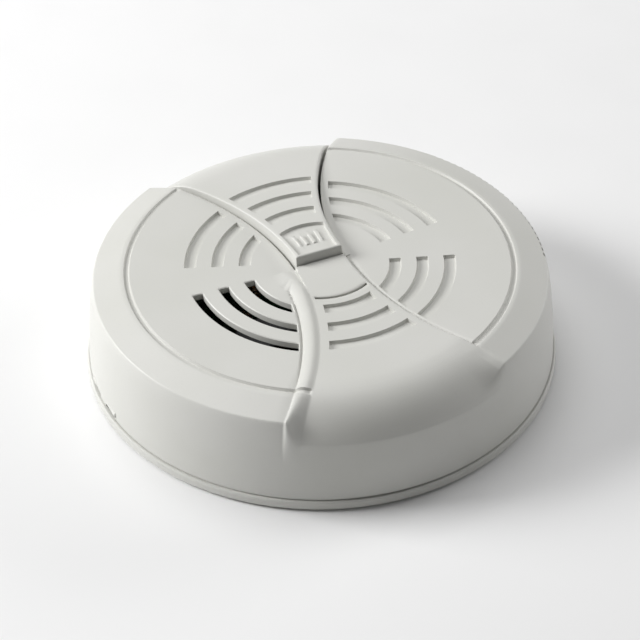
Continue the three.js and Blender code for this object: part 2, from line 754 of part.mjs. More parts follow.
place('capacitor_1', capacitor(4, 11, 22, 38), 'blue');
place('capacitor_2', capacitor(3.2, 9, 30.5, 42), 'blue');
resistorSpots.forEach(([x, y], i) => place(`resistor_${i + 1}`, resistor(x, y), 'tan'));
place('battery_body', batteryBody(), 'jacket');
place('battery_terminal_positive', batteryTerminal(-1, 2.9), 'steel');
place('battery_terminal_negative', batteryTerminal(1, 4.1), 'steel');
place('battery_contact_positive', batteryContact(-1), 'steel');
place('battery_contact_negative', batteryContact(1), 'steel');

export default alarm;
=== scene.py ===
"""Looks of a round battery carbon monoxide alarm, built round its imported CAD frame.

Lengths in the shape functions are millimetres; add_mesh turns them into metres.
+Z is out of the mounting face, +Y runs along the test lever, the cover hinges at -X.
"""

import json

import bmesh
import bpy
import numpy as np
from mathutils import Matrix, Vector


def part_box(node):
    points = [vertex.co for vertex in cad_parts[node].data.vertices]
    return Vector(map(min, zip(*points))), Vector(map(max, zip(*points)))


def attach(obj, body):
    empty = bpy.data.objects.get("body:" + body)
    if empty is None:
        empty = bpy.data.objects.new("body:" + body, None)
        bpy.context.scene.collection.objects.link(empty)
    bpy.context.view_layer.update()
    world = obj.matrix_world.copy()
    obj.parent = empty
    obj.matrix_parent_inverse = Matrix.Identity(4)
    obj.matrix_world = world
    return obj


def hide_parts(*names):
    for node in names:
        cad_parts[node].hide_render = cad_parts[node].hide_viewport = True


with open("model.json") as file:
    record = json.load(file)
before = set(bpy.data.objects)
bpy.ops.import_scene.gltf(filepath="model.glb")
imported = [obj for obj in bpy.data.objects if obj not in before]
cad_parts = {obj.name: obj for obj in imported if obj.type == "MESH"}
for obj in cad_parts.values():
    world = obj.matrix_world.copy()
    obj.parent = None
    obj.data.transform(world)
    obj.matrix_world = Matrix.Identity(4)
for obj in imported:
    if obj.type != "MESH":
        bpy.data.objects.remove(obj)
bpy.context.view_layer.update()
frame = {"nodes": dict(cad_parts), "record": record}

MM = 0.001
DEGREE = np.pi / 180


def corner(node, high):
    """Low or high corner of a CAD node's box, in millimetres."""
    return np.array(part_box(node)[1 if high else 0]) / MM


# ---- Sizes of the housing ----
BAND_RISE = 0.8
BAND_TOP = corner("front_cover", True)[2]
FACE = BAND_TOP - BAND_RISE
COVER_FOOT_R = corner("front_cover", True)[0]
COVER_FOOT_Z = corner("front_cover", False)[2]
SHOULDER_R, SHOULDER_Z, FACE_R = COVER_FOOT_R - 2.2, FACE - 2.8, COVER_FOOT_R - 10.8
SIDE_BULGE, ROLL_START, ROLL_BULGE = 0.45, SHOULDER_R - 13, 2.35
WALL = 1.9
HALF_WAIST, ARC = 7.4, 80.0
ARC_X = HALF_WAIST + ARC
LEVER_GAP = 0.7
TIP_Y = 0.2
PIVOT = np.array([0.0, 46.0, FACE - 4.9])
TIP_RISE = 2.8
WEDGE = np.arcsin(TIP_RISE / (PIVOT[1] - TIP_Y))
SKIRT_BOTTOM = FACE - 7

# ---- Sizes of the rings ----
RINGS = np.array([20.4, 27.8, 35.2])
RING_HALF = 1.55
EASE = 0.26                     # how wide the wall of a groove is
GROOVE_DEPTH = 0.95
PLATE_R, PLATE_HALF = 15.8, 0.5
EDGE_GROOVE = (FACE_R - 1.8, FACE_R, 0.7)
GROOVE_STOP, VENT_STOP = 2.2, 5.3
PLATE_STOP, BAND_GROOVE_STOP, FRONT_STOP = 0.9, 2.6, 1.5
LEFT_GROOVE, VENT_START = -21, -2       # degrees from -X where the left grooves end and the vents start
RIGHT_GROOVE, BACK_GROOVE = -19, 5      # degrees from +X between which the right sector is plain
HINGE_IN, HINGE_OUT, HINGE_EDGE = 1.94, 6.54, 6.9   # degrees from -X of the two hinge windows
WELT = 4.4                      # raised edge along the left of the fixed band

# ---- Grip ribs ----
GRIPS, GRIP_PITCH, GRIP_HALF, GRIP_MIDDLE = 24, 2.4, 0.55, 7.6
GRIP_WALL = 0.15


# ---- Profiles ----
def ramp(low, high, x):
    """0 below low, 1 above high, and a smooth cubic between."""
    t = np.clip((x - low) / (high - low), 0, 1)
    return t * t * (3 - 2 * t)


def step(edge, x):
    """0 to 1 in a straight line over EASE, centred on edge."""
    return np.clip((x - edge) / EASE + 0.5, 0, 1)


def bulged(a, b, bulge, steps=80):
    """A parabola from a to b that stands out to the left of its chord by bulge at its middle."""
    a, b = np.array(a, float), np.array(b, float)
    t = np.linspace(0, 1, steps)[:, None]
    chord = b - a
    left = np.array([-chord[1], chord[0]]) / np.hypot(*chord)
    return a + chord * t + left * 4 * bulge * t * (1 - t)


SIDE = bulged((SHOULDER_R, SHOULDER_Z), (COVER_FOOT_R, COVER_FOOT_Z), SIDE_BULGE)
JOIN = bulged((SHOULDER_R, SHOULDER_Z), (COVER_FOOT_R, COVER_FOOT_Z), SIDE_BULGE, 9)[2]
ROLL = bulged((ROLL_START, BAND_TOP), JOIN, ROLL_BULGE)
SECTOR_LINE = np.vstack([[0, FACE], [FACE_R, FACE], SIDE])
BAND_LINE = np.vstack([[0, BAND_TOP], ROLL, SIDE[SIDE[:, 1] < JOIN[1] - 0.1]])


class Profile:
    """Height over radius of a turned surface, with its corners eased over about a millimetre."""

    def __init__(self, line, ease=1.1):
        reach = line[-1, 0]
        self.r = np.arange(0, reach + ease, 0.05)
        slope = (line[-1, 1] - line[-2, 1]) / (line[-1, 0] - line[-2, 0])
        z = np.interp(self.r, line[:, 0], line[:, 1])
        z = np.where(self.r > reach, line[-1, 1] + slope * (self.r - reach), z)
        width = int(ease / 0.05) // 2 * 2 + 1
        padded = np.pad(z, width // 2, mode="edge")
        self.z = np.convolve(padded, np.ones(width) / width, "valid")
        near_end = ramp(reach - 2 * ease, reach - ease, self.r)
        self.z = self.z * (1 - near_end) + z * near_end
        self.slope = np.gradient(self.z, self.r)

    def height(self, r):
        return np.interp(r, self.r, self.z)

    def normal(self, r):
        """Outward unit normal (radial part, upward part)."""
        slope = np.interp(r, self.r, self.slope)
        length = np.hypot(1, slope)
        return -slope / length, 1 / length


SECTOR, BAND = Profile(SECTOR_LINE), Profile(BAND_LINE)


def edge_angle(r, inside):
    """Degrees from the X axis where the circle of radius r is a distance inside short of the band's edge."""
    side = ARC - inside
    cosine = (r * r + ARC_X**2 - side**2) / (2 * r * ARC_X)
    return np.arccos(np.clip(cosine, -1, 1)) / DEGREE


def band_half(y, margin=0.0):
    """Half the band's width at y, its sides moved in by margin."""
    return ARC_X - np.sqrt((ARC + margin) ** 2 - y * y)


def off_band(x, y):
    """Distance outside the band's edge, less than zero on the band."""
    return ARC - np.hypot(ARC_X - np.abs(x), y)


# ---- Meshes ----
def add_mesh(name, points, faces, body, material, sharp=40, nodes=()):
    """A piece from points in millimetres and quads, doubles merged, riding on a body."""
    mesh = bpy.data.meshes.new(name)
    mesh.from_pydata((np.asarray(points, float) * MM).tolist(), [], np.asarray(faces, int).tolist())
    work = bmesh.new()
    work.from_mesh(mesh)
    bmesh.ops.remove_doubles(work, verts=work.verts, dist=2e-6)
    bmesh.ops.dissolve_degenerate(work, edges=work.edges, dist=1e-6)
    work.to_mesh(mesh)
    work.free()
    return finish_piece(name, mesh, body, material, sharp, nodes)


def finish_piece(name, mesh, body, material, sharp=40, nodes=()):
    mesh.shade_smooth()
    mesh.set_sharp_from_angle(angle=sharp * DEGREE)
    piece = bpy.data.objects.new(name, mesh)
    bpy.context.scene.collection.objects.link(piece)
    mesh.materials.clear()
    mesh.materials.append(material)
    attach(piece, body)
    if nodes:
        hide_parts(*nodes)
    return piece


def wall_faces(keep, around):
    """Quads of a wall with an outer and an inner skin on one grid of points.

    keep marks the cells that are there. Each gives an outer quad and a reversed inner quad, and a
    kept cell beside a missing one gives the quad that joins the two skins along that edge.
    """
    rows, columns = keep.shape
    width = columns if around else columns + 1
    index = np.arange((rows + 1) * width).reshape(rows + 1, width)
    if around:
        index = np.hstack([index, index[:, :1]])
    inner = index + (rows + 1) * width
    a, b, c, d = index[:-1, :-1], index[1:, :-1], index[1:, 1:], index[:-1, 1:]
    ai, bi, ci, di = inner[:-1, :-1], inner[1:, :-1], inner[1:, 1:], inner[:-1, 1:]

    def picked(where, *corners):
        return np.stack([side[where] for side in corners], 1)

    above = np.vstack([np.zeros((1, columns), bool), keep[:-1]])
    below = np.vstack([keep[1:], np.zeros((1, columns), bool)])
    before = np.roll(keep, 1, 1)
    after = np.roll(keep, -1, 1)
    if not around:
        before[:, 0] = False
        after[:, -1] = False
    return np.vstack([
        picked(keep, a, b, c, d),
        picked(keep, ai, di, ci, bi),
        picked(keep & ~above, a, d, di, ai),
        picked(keep & ~below, c, b, bi, ci),
        picked(keep & ~before, b, a, ai, bi),
        picked(keep & ~after, d, c, ci, di),
    ])


def spread(knots, count):
    """Angles for whole columns 0 to count, from knots of (column, angle at each row)."""
    columns = np.array([column for column, angles in knots], float)
    angles = np.maximum.accumulate(np.stack([angles for column, angles in knots], 1), 1)
    return np.stack([np.interp(np.arange(count + 1), columns, row) for row in angles])


# ---- Front cover ----
def cover_rows():
    """Radii of the rows: close together at each feature's edges, wider between."""
    h = EASE / 2
    rows = [HALF_WAIST, HALF_WAIST + 0.02, 7.6, 8.2, 9, 10.2, 11.5, 13, 14.5]
    for side in (PLATE_R - PLATE_HALF, PLATE_R + PLATE_HALF):
        rows += [side - h, side + h]
    rows += [17.4]
    for ring in RINGS:
        low, high = ring - RING_HALF, ring + RING_HALF
        rows += [low - 0.5, low - h, low + h, ring - 0.6, ring + 0.6]
        rows += [high - h, high + h, high + 0.5, high + 2.1]
    rows += [40, 42, 44, 46, 47.5, 49, 50]
    low, high = EDGE_GROOVE[:2]
    rows += [low, low + 0.45]
    rows += list(high + np.array([-0.45, -0.1, 0.5, 1.2, 2.2, 3.2, 4.2, 5.2, 6.2, 7.0]))
    rows += list(SHOULDER_R + np.array([-0.95, -0.72, -0.55, -0.4, -0.25, -0.1, 0.05, 0.18]))
    heights = np.concatenate([np.linspace(SHOULDER_Z - 1.8, JOIN[1], 7), np.linspace(JOIN[1], 8.0, 16)[1:],
                              [7.0, 6.0, 5.2, 4.6, 4.0, 3.6, COVER_FOOT_Z]])
    rows += list(np.interp(-heights, -SIDE[:, 1], SIDE[:, 0]))
    return np.array(rows)


def grip_middles():
    """Angle of the middle of every grip groove."""
    return GRIP_MIDDLE + (np.arange(GRIPS) - (GRIPS - 1) / 2) * GRIP_PITCH / SHOULDER_R / DEGREE


def grip_angles():
    """Angles of both edges of both walls of every grip groove."""
    wall = np.array([-GRIP_WALL, GRIP_WALL])
    spots = np.concatenate([wall - GRIP_HALF, wall + GRIP_HALF]) / SHOULDER_R / DEGREE
    return (grip_middles()[:, None] + spots).ravel()


def fixed(r, angle):
    return np.full(len(r), float(angle))


def cover_columns(r):
    """Angle of each column at each row, counter-clockwise from the left rear edge of the band's gap.

    The columns follow the band's edges and the ends of the rings' slots. Nearer the middle than the
    first ring they close in on the sector's point in proportion. Outside the rings they move over to
    the places of the grip grooves and the hinge.
    """
    h = EASE / 2
    near = np.maximum(r, RINGS[0] - 2.1)
    shrink = edge_angle(r, 0) / edge_angle(near, 0)
    turn = h / near / DEGREE

    def edge(inside):
        return edge_angle(near, inside)

    left_in = [
        (0, -edge(0)), (1, -edge(0.25)), (2, -edge(0.7)),
        (4, -edge(GROOVE_STOP - h)), (5, -edge(GROOVE_STOP + h)),
        (24, fixed(r, LEFT_GROOVE) - turn), (25, fixed(r, LEFT_GROOVE) + turn),
        (38, fixed(r, VENT_START) - turn), (39, fixed(r, VENT_START) + turn),
        (74, edge(VENT_STOP + h)), (75, edge(VENT_STOP - h)),
        (76, edge(4.75)), (77, edge(4.5)), (78, edge(4.25)), (79, edge(4)), (81, edge(3)),
        (83, edge(2)), (85, edge(1)), (86, edge(0.5)), (LEFT_END, edge(0)),
    ]
    hinge = [(34, -HINGE_EDGE), (36, -HINGE_OUT), (42, -HINGE_IN),
             (46, HINGE_IN), (52, HINGE_OUT), (54, HINGE_EDGE)]
    left_out = left_in[:3] + [(column, fixed(r, angle)) for column, angle in hinge]
    left_out += [(75, edge(5.05))] + left_in[15:]
    grips = grip_angles()
    right_in = [
        (0, -edge(0)), (1, -edge(0.25)), (2, -edge(0.6)), (3, -edge(1.0)),
        (4, -edge(FRONT_STOP - h)), (5, -edge(FRONT_STOP + h)),
        (40, fixed(r, RIGHT_GROOVE) - turn), (41, fixed(r, RIGHT_GROOVE) + turn),
        (80, fixed(r, BACK_GROOVE) - turn), (81, fixed(r, BACK_GROOVE) + turn),
        (155, edge(GROOVE_STOP + h)), (156, edge(GROOVE_STOP - h)),
        (158, edge(0.7)), (159, edge(0.25)), (160, edge(0)),
    ]
    right_out = right_in[:6] + [(34 + i, fixed(r, angle)) for i, angle in enumerate(grips)] + right_in[-3:]
    stops = [0, -0.35, h - PLATE_STOP, -h - PLATE_STOP, h - BAND_GROOVE_STOP, -h - BAND_GROOVE_STOP]
    front = [(i, 180 + edge_angle(r, stop)) for i, stop in enumerate(stops)]
    front += [(34 - i, 360 - edge_angle(r, stop)) for i, stop in reversed(list(enumerate(stops)))]
    back = [(0, 360 + edge_angle(r, 0)), (34, 540 - edge_angle(r, 0))]
    outward = ramp(41, 52, r)[:, None]
    left = spread(left_in, LEFT_END) * (1 - outward) + spread(left_out, LEFT_END) * outward
    right = spread(right_in, 160) * (1 - outward) + spread(right_out, 160) * outward
    left, right = 180 + left * shrink[:, None], 360 + right * shrink[:, None]
    return np.hstack([left, spread(front, 34)[:, 1:], right[:, 1:], spread(back, 34)[:, 1:-1]])


LEFT_END, FRONT_END, RIGHT_END = 87, 121, 281


def ring_bump(r, half=RING_HALF):
    """1 on the floor of each ring's groove, 0 off it, with straight walls."""
    return sum(step(ring - half, r) * step(-ring - half, -r) for ring in RINGS)


def cover_relief(x, y, r, angle):
    """How far the outer skin is moved along its normal, minus inwards, and the share of the band's profile.

    Grooves are products of a wall across the ring and a wall at each end. The raised edge left of the
    fixed band swells over WELT millimetres. Its foot, and the right edge of the
    band, are V grooves. At the shoulder the band's right side takes on the height of the sector beside it.
    """
    off = off_band(x, y)
    arc = r * DEGREE
    front_side = (angle > 180) & (angle < 360)
    left = (angle < 270)
    local = np.where(left, angle - 180, angle - 360)
    on_face = r < 46
    blind_left = step(GROOVE_STOP, off) * step(0, (LEFT_GROOVE - local) * arc) * (local < 0) * left
    blind_front = step(FRONT_STOP, off) * step(0, (RIGHT_GROOVE - local) * arc) * ~left
    blind_back = step(GROOVE_STOP, off) * step(0, (local - BACK_GROOVE) * arc) * ~left * (local > 0)
    on_band = step(BAND_GROOVE_STOP, -off) * front_side
    groove = ring_bump(r) * on_face * np.maximum.reduce([blind_left, blind_front, blind_back, on_band])
    vent = ring_bump(r) * on_face * step(VENT_STOP, off) * step(0, (local - VENT_START) * arc) * left
    plate = step(PLATE_R - PLATE_HALF, r) * step(-PLATE_R - PLATE_HALF, -r)
    plate = plate * step(PLATE_STOP, -off) * front_side
    low, high, depth = EDGE_GROOVE
    ring = np.clip((r - low) / 0.45, 0, 1) * np.clip((high - r) / 0.45, 0, 1) * np.clip(off / 0.6, 0, 1)
    relief = -GROOVE_DEPTH * groove - 0.22 * vent - 0.2 * plate - depth * ring

    fade = 1 - 0.75 * ramp(36, 62, r)
    gone = 1 - ramp(SHOULDER_R + 0.2, COVER_FOOT_R - 0.5, r)
    is_left_front = left & (local > 0)
    is_right_front = ~left & (local < 0)
    across = np.clip(1 - off / WELT, 0, 1)
    welt = np.sin(np.pi * np.clip(across, 0, 1) ** 0.8)
    near_tip = ramp(HALF_WAIST + 0.5, 14, r)
    share = np.where(front_side & is_left_front & (off > 0), ramp(0, 0.75, across) * near_tip, 0.0)
    inset = ramp(0, 8, -off)
    meets_side = (1 - inset) * ramp(47, SHOULDER_R - 2, r) * ~left
    share = np.where((off <= 0) & front_side, 1.0 - meets_side, share)
    relief += 0.75 * welt * is_left_front * (off > 0) * near_tip * gone
    foot = np.clip(1 - np.abs(off - WELT - 0.1) / 0.35, 0, 1)
    relief -= 0.45 * foot * is_left_front * ramp(10, 16, r) * fade * gone
    vee = np.clip(1 - np.abs(off - 0.3) / 0.75, 0, 1)
    relief -= 0.8 * vee * is_right_front * fade * (1 - ramp(FACE_R, SHOULDER_R - 2, r))
    back_side = ~front_side
    lip = (1 - np.clip(off / 0.7, 0, 1)) ** 2
    relief -= 0.3 * lip * back_side * gone

    beside = np.abs(local[..., None] - grip_middles())
    grip_at = np.clip((GRIP_HALF + GRIP_WALL - beside.min(-1) * DEGREE * SHOULDER_R) / (2 * GRIP_WALL), 0, 1)
    above = np.clip((r - SHOULDER_R + 0.72) / 0.17, 0, 1)
    below = np.clip((SHOULDER_R + 0.95 - r) / 0.12, 0, 1)
    grip = grip_at * ~left * above * below
    relief -= 1.0 * grip
    return relief, share


def cover_grid():
    """Outer and inner points of the cover, and which cells of the grid are there."""
    rows = cover_rows()
    angle = cover_columns(rows)
    r = np.repeat(rows[:, None], angle.shape[1], 1)
    x, y = r * np.cos(angle * DEGREE), r * np.sin(angle * DEGREE)
    # Rows of the fixed band straighten towards the edge that faces the lever's tip.
    on_band = np.zeros(angle.shape, bool)
    on_band[:, LEFT_END + 1:FRONT_END] = True
    bend = ramp(HALF_WAIST, 14.5, r)
    chord = -r * np.sin(edge_angle(r, 0) * DEGREE)
    y = np.where(on_band, chord * (1 - bend) + y * bend, y)
    r_here = np.hypot(x, y)
    relief, share = cover_relief(x, y, np.where(on_band, r_here, r), angle)
    height = SECTOR.height(r_here) * (1 - share) + BAND.height(r_here) * share
    ns, nb = SECTOR.normal(r_here), BAND.normal(r_here)
    out = ns[0] * (1 - share) + nb[0] * share
    up = ns[1] * (1 - share) + nb[1] * share
    length = np.hypot(out, up)
    out, up = out / length, up / length
    safe = np.maximum(r_here, 1e-6)
    ux, uy = x / safe, y / safe
    outer = np.stack([x + ux * out * relief, y + uy * out * relief, height + up * relief], -1)
    wall = np.full(r.shape, WALL)
    at_hinge = (np.abs(angle - 180) < 7.0) & (height < 7.9)
    wall = np.where(at_hinge, 0.85, wall)
    under = np.maximum(height - up * wall, COVER_FOOT_Z)
    inner = np.stack([x - ux * out * wall, y - uy * out * wall, under], -1)
    inner[..., :2] = np.where((r_here < 12)[..., None], np.stack([x, y], -1), inner[..., :2])

    middle_r = (rows[1:] + rows[:-1]) / 2
    closed = np.hstack([angle, angle[:, :1] + 360])
    middle_a = (closed[1:, 1:] + closed[1:, :-1] + closed[:-1, 1:] + closed[:-1, :-1]) / 4
    cell_r = np.repeat(middle_r[:, None], middle_a.shape[1], 1)
    mx, my = cell_r * np.cos(middle_a * DEGREE), cell_r * np.sin(middle_a * DEGREE)
    off = off_band(mx, my)
    column = np.arange(middle_a.shape[1])[None, :] + np.zeros_like(cell_r)
    keep = np.ones(middle_a.shape, bool)
    keep &= ~((column >= RIGHT_END) & (cell_r < JOIN[0]))
    inside = np.abs(cell_r[..., None] - RINGS).min(-1) < RING_HALF - EASE / 2
    vent = inside & (column < LEFT_END) & (middle_a > 178) & (off > VENT_STOP + EASE / 2)
    in_front = (column >= LEFT_END) & (column < FRONT_END)
    plate = (np.abs(cell_r - PLATE_R) < PLATE_HALF - EASE / 2) & in_front & (off < -PLATE_STOP - EASE / 2)
    hinge = (np.abs(middle_a - 180) < HINGE_OUT) & (np.abs(middle_a - 180) > HINGE_IN)
    foot_row = np.interp(4.6, SIDE[::-1, 1], SIDE[::-1, 0])
    keep &= ~(vent | plate | (hinge & (cell_r > foot_row)))
    return outer, inner, keep


def front_cover(material):
    outer, inner, keep = cover_grid()
    points = np.vstack([outer.reshape(-1, 3), inner.reshape(-1, 3)])
    return add_mesh("cover_shell", points, wall_faces(keep, True), "cover", material, 38,
                    ["front_cover"])


# ---- Test lever ----
PANEL_R, PANEL_DEPTH, PANEL_RIM = 14.0, 0.9, 0.9
PANEL_SIDE = 1.1                # rim left beside the panel, from the lever's edge
RIB_HALF, RIB_LENGTH = 0.4, 4.4
RIBS = np.array([-3, -1, 1, 3])  # across the lever, from its middle


def lever_places():
    """Across the lever: (side, distance in from that edge) of each column, and middle columns as shares."""
    h = 0.1
    edge = [0, 0, 0.12, 0.4, PANEL_SIDE - h, PANEL_SIDE + h, 2.0 - h, 2.0 + h]
    ribs = []
    for middle in RIBS:
        for offset in (-RIB_HALF - h, -RIB_HALF + h, RIB_HALF - h, RIB_HALF + h):
            ribs.append(middle + offset)
    shares = np.sort(np.concatenate([ribs, [-4.2, -2.0, 0, 2.0, 4.2]])) / 4.75
    return np.array(edge), shares


def lever_rows():
    """Where each row crosses the Y axis: the tip's face, the panel, the rings, then the rounded rim."""
    h = EASE / 2
    tip = TIP_Y
    panel = tip + PANEL_RIM
    rib_low = (tip + PANEL_RIM + PANEL_R - RIB_LENGTH) / 2
    rows = [tip, tip, tip + 0.12, tip + 0.4, panel - 0.1, panel + 0.1, 2.0, 3.4, rib_low - 0.1, rib_low + 0.1,
            6.4, 8.6, rib_low + RIB_LENGTH - 0.1, rib_low + RIB_LENGTH + 0.1, 11.4, 12.8,
            PANEL_R - 0.1, PANEL_R + 0.1,
            15, 16.5, 17.8]
    for ring in RINGS:
        low, high = ring - RING_HALF, ring + RING_HALF
        rows += [low - 0.4, low - h, low + h, ring, high - h, high + h, high + 0.4, high + 2.2]
    rows += [40.5, 42.5, 44.5, 46, 47.5, 49, 50.5, 52, 53.6, 55.1, 56.5, 57.8, 59.0,
             60.0, 60.8, 61.5, 62.1, 62.5, 62.75]
    return np.array(rows)


def lever_relief(x, y, share):
    """Depth of the lever's grooves and panel. share runs from 0 at its middle to 1 at the panel's side."""
    r = np.hypot(x, y)
    half = band_half(y, LEVER_GAP)
    inward = half - np.abs(x)
    groove = ring_bump(r) * np.clip((inward - 2.0) / 0.2 + 0.5, 0, 1) * (y > 15)
    side = np.clip((inward - PANEL_SIDE) / 0.2 + 0.5, 0, 1)
    front = np.clip((y - TIP_Y - PANEL_RIM) / 0.2 + 0.5, 0, 1)
    rear = np.clip((PANEL_R - r) / 0.2 + 0.5, 0, 1)
    panel = side * front * rear
    along = share * 4.75
    near = np.abs(along[..., None] - RIBS).min(-1)
    middle = (TIP_Y + PANEL_RIM + PANEL_R) / 2
    rib = np.clip((RIB_HALF - near) / 0.2 + 0.5, 0, 1)
    rib *= np.clip((RIB_LENGTH / 2 - np.abs(y - middle)) / 0.2 + 0.5, 0, 1)
    rib *= np.abs(share) < 1
    return GROOVE_DEPTH * groove + PANEL_DEPTH * panel - 0.5 * rib * panel


def lever_frame(points):
    """Turned about the pivot from the level in which the lever is worked out to its tip-up rest."""
    dy, dz = points[..., 1] - PIVOT[1], points[..., 2] - PIVOT[2]
    sine, cosine = np.sin(-WEDGE), np.cos(-WEDGE)
    y, z = dy * cosine - dz * sine, dy * sine + dz * cosine
    return np.stack([points[..., 0], PIVOT[1] + y, PIVOT[2] + z], -1)


def lever_grid():
    """Outer and inner points of the lever.

    A row is straight at the tip and bends to a circle about the middle by the panel's rear edge. Columns
    keep their distance from the band's sides. The first and last of them, and the first row, drop to
    the skirt's lower edge.
    """
    edge, shares = lever_places()
    rows = lever_rows()
    count = 2 * len(edge) + len(shares)
    across_rows = np.repeat(rows[:, None], count, 1)
    bend = ramp(2.0, PANEL_R - 1, across_rows)
    y = across_rows.copy()
    for turn in range(8):
        half = band_half(y, LEVER_GAP)
        core = half - edge[-1]
        x = np.hstack([-half[:, :1] + edge, core[:, :1] * shares, half[:, :1] - edge[::-1]])
        for column in range(count):
            if column < len(edge):
                x[:, column] = -half[:, column] + edge[column]
            elif column >= count - len(edge):
                x[:, column] = half[:, column] - edge[count - 1 - column]
            else:
                x[:, column] = core[:, column] * shares[column - len(edge)]
        arc = np.sqrt(np.maximum(across_rows**2 - x * x, 0))
        y = across_rows * (1 - bend) + arc * bend
    r = np.hypot(x, y)
    share = np.clip(x / (band_half(y, LEVER_GAP) - 2.0), -2, 2)
    top = BAND.height(r) - lever_relief(x, y, share)
    out, up = BAND.normal(r)
    inward = np.minimum(band_half(y, LEVER_GAP) - np.abs(x), np.where(across_rows < 5, y - TIP_Y, 9))
    top -= 0.35 * (1 - np.clip(inward / 0.4, 0, 1)) ** 2
    outer = np.stack([x, y, top], -1)
    low = np.minimum(SKIRT_BOTTOM, top - 2.2)
    outer[:, 0, 2] = low[:, 0]
    outer[:, -1, 2] = low[:, -1]
    outer[0, :, 2] = low[0, :]

    # The inner skin is drawn in by the wall on all sides.
    squeeze = (band_half(y, LEVER_GAP) - 1.8) / band_half(y, LEVER_GAP)
    safe = np.maximum(r, 1e-6)
    ix = x * squeeze - x / safe * out * WALL * (r > 20)
    iy = np.where(across_rows < 6, TIP_Y + 1.8 + (y - TIP_Y) * 0.6, y) - y / safe * out * WALL * (r > 20)
    inner = np.stack([ix, iy, BAND.height(r) - 2.4 * np.ones_like(up)], -1)
    inner[:, 0, 2] = outer[:, 0, 2]
    inner[:, -1, 2] = outer[:, -1, 2]
    inner[0, :, 2] = outer[0, :, 2]
    return lever_frame(outer), lever_frame(inner)


def rod_points(radius, length, steps=32):
    """Profile of a rod along X with eased ends, as a grid of rings."""
    ease = min(0.25, radius / 3)
    end = length / 2
    along = np.array([-end, -end, ease - end, end - ease, end, end])
    around = np.array([1e-6, radius - ease, radius, radius, radius - ease, 1e-6])
    angle = np.arange(steps) / steps * 2 * np.pi
    return np.stack([
        along[:, None] + 0 * angle,
        around[:, None] * np.cos(angle),
        around[:, None] * np.sin(angle),
    ], -1)


def ring_faces(rows, steps):
    """Quads between neighbouring closed rings of points."""
    i, j = np.meshgrid(np.arange(rows - 1), np.arange(steps), indexing="ij")
    k = (j + 1) % steps
    here, after = i * steps, (i + 1) * steps
    return np.stack([here + j, here + k, after + k, after + j], -1).reshape(-1, 4)


def test_lever(material):
    outer, inner = lever_grid()
    keep = np.ones((outer.shape[0] - 1, outer.shape[1] - 1), bool)
    faces = wall_faces(keep, False)[:, ::-1]
    points = np.vstack([outer.reshape(-1, 3), inner.reshape(-1, 3)])
    return add_mesh("lever_shell", points, faces, "lever", material, 38, ["test_lever"])


# ---- Pieces that keep their CAD shape, with their edges eased ----
def eased_copy(node, name, body, material, width=0.3, keep=None, sharp=30):
    """A copy of a CAD node with its loose triangles joined, its flat faces merged and its edges rounded."""
    mesh = frame["nodes"][node].data.copy()
    work = bmesh.new()
    work.from_mesh(mesh)
    bmesh.ops.remove_doubles(work, verts=work.verts, dist=2e-6)
    if keep is not None:
        drop = [face for face in work.faces if not keep(face.calc_center_median() / MM)]
        bmesh.ops.delete(work, geom=drop, context="FACES")
    bmesh.ops.dissolve_limit(work, angle_limit=1 * DEGREE, verts=work.verts, edges=work.edges)
    work.to_mesh(mesh)
    work.free()
    piece = finish_piece(name, mesh, body, material, sharp, [node])
    bevel = piece.modifiers.new("eased_edges", "BEVEL")
    bevel.width = width * MM
    bevel.segments = 2
    bevel.limit_method = "ANGLE"
    bevel.angle_limit = 35 * DEGREE
    bevel.harden_normals = True
    bevel.use_clamp_overlap = True
    return piece


def extruded(outline, low, high):
    """A prism along X between low and high from a closed outline of (y, z) points."""
    outline = np.asarray(outline, float)
    count = len(outline)
    ends = [np.column_stack([np.full(count, x), outline]) for x in (low, high)]
    index = np.arange(count)
    after = (index + 1) % count
    sides = np.stack([index, after, after + count, index + count], 1).tolist()
    return np.vstack(ends), sides + [index[::-1].tolist(), (index + count).tolist()]


def prism_piece(name, outline, low, high, body, material, width=0.25):
    points, faces = extruded(outline, low, high)
    mesh = bpy.data.meshes.new(name)
    mesh.from_pydata((points * MM).tolist(), [], faces)
    work = bmesh.new()
    work.from_mesh(mesh)
    bmesh.ops.recalc_face_normals(work, faces=work.faces)
    work.to_mesh(mesh)
    work.free()
    piece = finish_piece(name, mesh, body, material, 30)
    bevel = piece.modifiers.new("eased_edges", "BEVEL")
    bevel.width, bevel.segments, bevel.limit_method = width * MM, 2, "ANGLE"
    bevel.angle_limit = 35 * DEGREE
    bevel.harden_normals = True
    return piece


TRUNNION_R, LUG_THICK, LUG_R = 1.1, 2.0, 2.7
HINGE_Z, PIN_R = 4.9, 0.85


def arc_points(radius, start, stop, steps, centre):
    turn = np.linspace(start, stop, steps) * DEGREE
    return np.stack([centre[0] + radius * np.cos(turn), centre[1] + radius * np.sin(turn)], 1)


def lever_lugs(material):
    """Snap-in bearings under the cover: a rounded block with a bore open downwards."""
    middle = band_half(PIVOT[1] + LUG_R, LEVER_GAP) + 0.3 + LUG_THICK / 2
    bore = TRUNNION_R + 0.3
    half_open = np.arcsin(TRUNNION_R / bore) / DEGREE
    outer = arc_points(LUG_R, 270 + 24, 360, 10, PIVOT[1:])
    over = arc_points(LUG_R, 180, 270 - 24, 10, PIVOT[1:])
    inside = arc_points(bore, 270 - half_open, -90 + half_open, 24, PIVOT[1:])
    top = FACE - 1.5
    outline = np.vstack([outer, [[PIVOT[1] + LUG_R, top], [PIVOT[1] - LUG_R, top]], over, inside])
    for name, side in (("lever_lug_left", -1), ("lever_lug_right", 1)):
        low = side * middle - LUG_THICK / 2
        prism_piece(name, outline, low, low + LUG_THICK, "cover", material, 0.15)
    return middle + LUG_THICK / 2


